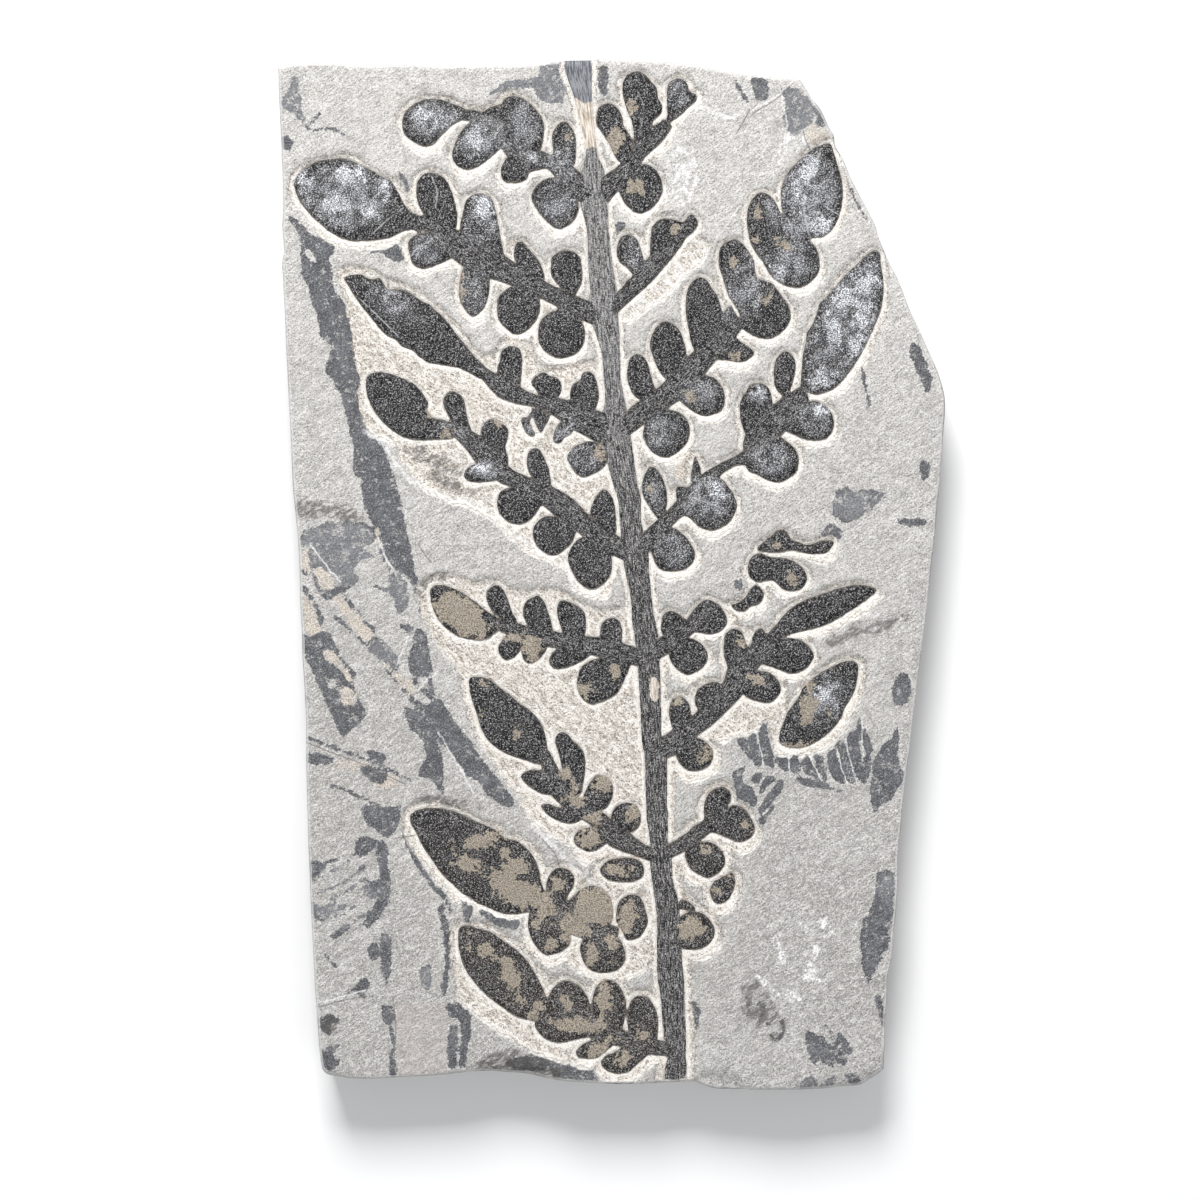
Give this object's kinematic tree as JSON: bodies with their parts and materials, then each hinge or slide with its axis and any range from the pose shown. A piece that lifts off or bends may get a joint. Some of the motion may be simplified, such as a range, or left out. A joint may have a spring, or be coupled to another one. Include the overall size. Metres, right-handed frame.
{
  "type": "fossil fern plate",
  "caption": "Flat slab of grey shale with a black carbonised seed fern frond in its face; it rests on its back and shows the fossil to the viewer above.",
  "frame": {"origin": "middle of the flat back of the slab, in the plane that it rests on", "axes": "+Z out of the fossil face, towards the viewer; +Y along the stalk, towards the frond's tip; +X to the viewer's right"},
  "size_m": [0.1332, 0.2062, 0.0125],
  "materials": {
    "shale": "matt",
    "carbon": "satin"
  },
  "bodies": {
    "root": {"shale_slab": "shale", "rachis": "carbon", "pinna_left_1": "carbon", "pinna_left_2": "carbon", "pinna_left_3": "carbon", "pinna_left_4": "carbon", "pinna_left_5": "carbon", "pinna_left_6": "carbon", "pinna_left_7": "carbon", "pinna_left_8": "carbon", "pinna_right_1": "carbon", "pinna_right_2": "carbon", "pinna_right_3": "carbon", "pinna_right_4": "carbon", "pinna_right_5": "carbon", "pinna_right_6": "carbon", "pinna_right_7": "carbon", "pinna_right_8": "carbon", "pinna_right_9": "carbon", "leaflet_mid_left": "carbon", "leaflet_low_left": "carbon", "leaflet_low_right": "carbon", "leaflet_right": "carbon", "scrap_upper": "carbon", "scrap_middle": "carbon", "scrap_lower": "carbon"}
  },
  "joints": []
}
